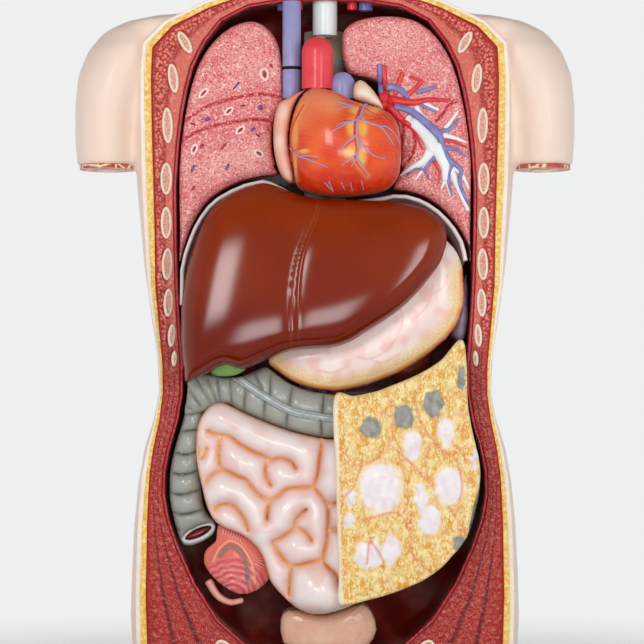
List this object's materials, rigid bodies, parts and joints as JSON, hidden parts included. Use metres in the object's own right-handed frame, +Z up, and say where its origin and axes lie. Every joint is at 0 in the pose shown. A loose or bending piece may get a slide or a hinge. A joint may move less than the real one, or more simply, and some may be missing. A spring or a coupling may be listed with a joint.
{
  "type": "torso anatomy model",
  "caption": "Life-size teaching torso, sectioned open in front, with lungs, heart, liver, stomach and intestines that pull off on pegs, on a flat base board.",
  "frame": {"origin": "on the table, under the middle of the whole model", "axes": "+Z up, -Y towards the open front, +X to the right of someone facing the open front"},
  "size_m": [0.409, 0.24, 0.7105],
  "materials": {
    "board_grey": "satin",
    "rubber_black": "matte",
    "steel": "satin",
    "skin": "satin",
    "skin_section": "satin",
    "fat": "hand-painted satin",
    "muscle": "hand-painted satin",
    "bone": "satin",
    "pleura": "gloss",
    "cartilage": "satin",
    "nerve": "satin",
    "airway": "gloss",
    "gullet": "satin",
    "artery": "gloss",
    "vein": "gloss",
    "diaphragm": "satin",
    "kidney": "gloss",
    "bladder": "satin",
    "socket": "satin",
    "spleen": "gloss",
    "lung": "hand-painted satin",
    "heart": "gloss",
    "heart_lining": "gloss",
    "atrium": "gloss",
    "auricle": "gloss",
    "stomach": "gloss",
    "stomach_lining": "gloss",
    "liver": "high gloss",
    "gallbladder": "gloss",
    "gut": "gloss",
    "colon": "gloss",
    "ileum": "gloss",
    "omentum": "gloss"
  },
  "bodies": {
    "trunk": {"base_board": "board_grey", "base_feet": "rubber_black", "base_screws": "steel", "trunk_shell": "skin", "skin_edge": "skin_section", "fat_layer": "fat", "muscle_layer": "muscle", "bone_sections": "bone", "pleura": "pleura", "arm_muscle_sections": "muscle", "humerus_sections": "bone", "neck_section": "muscle", "vertebrae": "bone", "intervertebral_discs": "cartilage", "spinal_cord": "nerve", "trachea": "airway", "oesophagus": "gullet", "neck_arteries": "artery", "neck_veins": "vein", "upper_vena_cava": "vein", "diaphragm": "diaphragm", "abdominal_aorta": "artery", "lower_vena_cava": "vein", "kidneys": "kidney", "bladder": "bladder", "organ_sockets": "socket", "spleen": "spleen"},
    "right_lung_unit": {"right_lung": "lung", "right_lung_airways": "airway", "organ_pegs_right_lung": "steel"},
    "left_lung_unit": {"left_lung": "lung", "left_bronchi": "airway", "left_pulmonary_arteries": "vein", "left_pulmonary_veins": "artery", "organ_pegs_left_lung": "steel"},
    "heart_unit": {"heart_rear_half": "heart_lining", "right_atrium": "atrium", "left_auricle": "auricle", "pulmonary_trunk": "vein", "ascending_aorta": "artery", "vena_cava_stub": "vein", "organ_peg_heart": "steel"},
    "heart_front_unit": {"heart_front_wall": "heart", "heart_pegs": "steel"},
    "stomach_rear_unit": {"stomach_rear_half": "stomach_lining", "organ_peg_stomach": "steel"},
    "stomach_front_unit": {"stomach_front_half": "stomach", "stomach_pegs": "steel"},
    "liver_unit": {"liver": "liver", "gallbladder": "gallbladder", "organ_peg_liver": "steel"},
    "intestines_unit": {"small_intestine": "gut", "transverse_colon": "colon", "ascending_colon": "colon", "descending_colon": "colon", "terminal_ileum": "ileum", "appendix": "ileum", "organ_pegs_intestines": "steel"},
    "omentum_unit": {"greater_omentum": "omentum", "omentum_pegs": "steel"}
  },
  "joints": [
    {"name": "right_lung_pull", "type": "slide", "parent": "trunk", "child": "right_lung_unit", "axis": [0, -1, 0], "range_m": [0, 0.18]},
    {"name": "left_lung_pull", "type": "slide", "parent": "trunk", "child": "left_lung_unit", "axis": [0, -1, 0], "range_m": [0, 0.18]},
    {"name": "heart_pull", "type": "slide", "parent": "trunk", "child": "heart_unit", "axis": [0, -1, 0], "range_m": [0, 0.18]},
    {"name": "heart_front_pull", "type": "slide", "parent": "heart_unit", "child": "heart_front_unit", "axis": [0, -1, 0], "range_m": [0, 0.1]},
    {"name": "stomach_pull", "type": "slide", "parent": "trunk", "child": "stomach_rear_unit", "axis": [0, -1, 0], "range_m": [0, 0.18]},
    {"name": "stomach_front_pull", "type": "slide", "parent": "stomach_rear_unit", "child": "stomach_front_unit", "axis": [0, -1, 0], "range_m": [0, 0.08]},
    {"name": "liver_pull", "type": "slide", "parent": "stomach_front_unit", "child": "liver_unit", "axis": [0, -1, 0], "range_m": [0, 0.18]},
    {"name": "intestines_pull", "type": "slide", "parent": "trunk", "child": "intestines_unit", "axis": [0, -1, 0], "range_m": [0, 0.18]},
    {"name": "omentum_pull", "type": "slide", "parent": "intestines_unit", "child": "omentum_unit", "axis": [0, -1, 0], "range_m": [0, 0.1]}
  ]
}
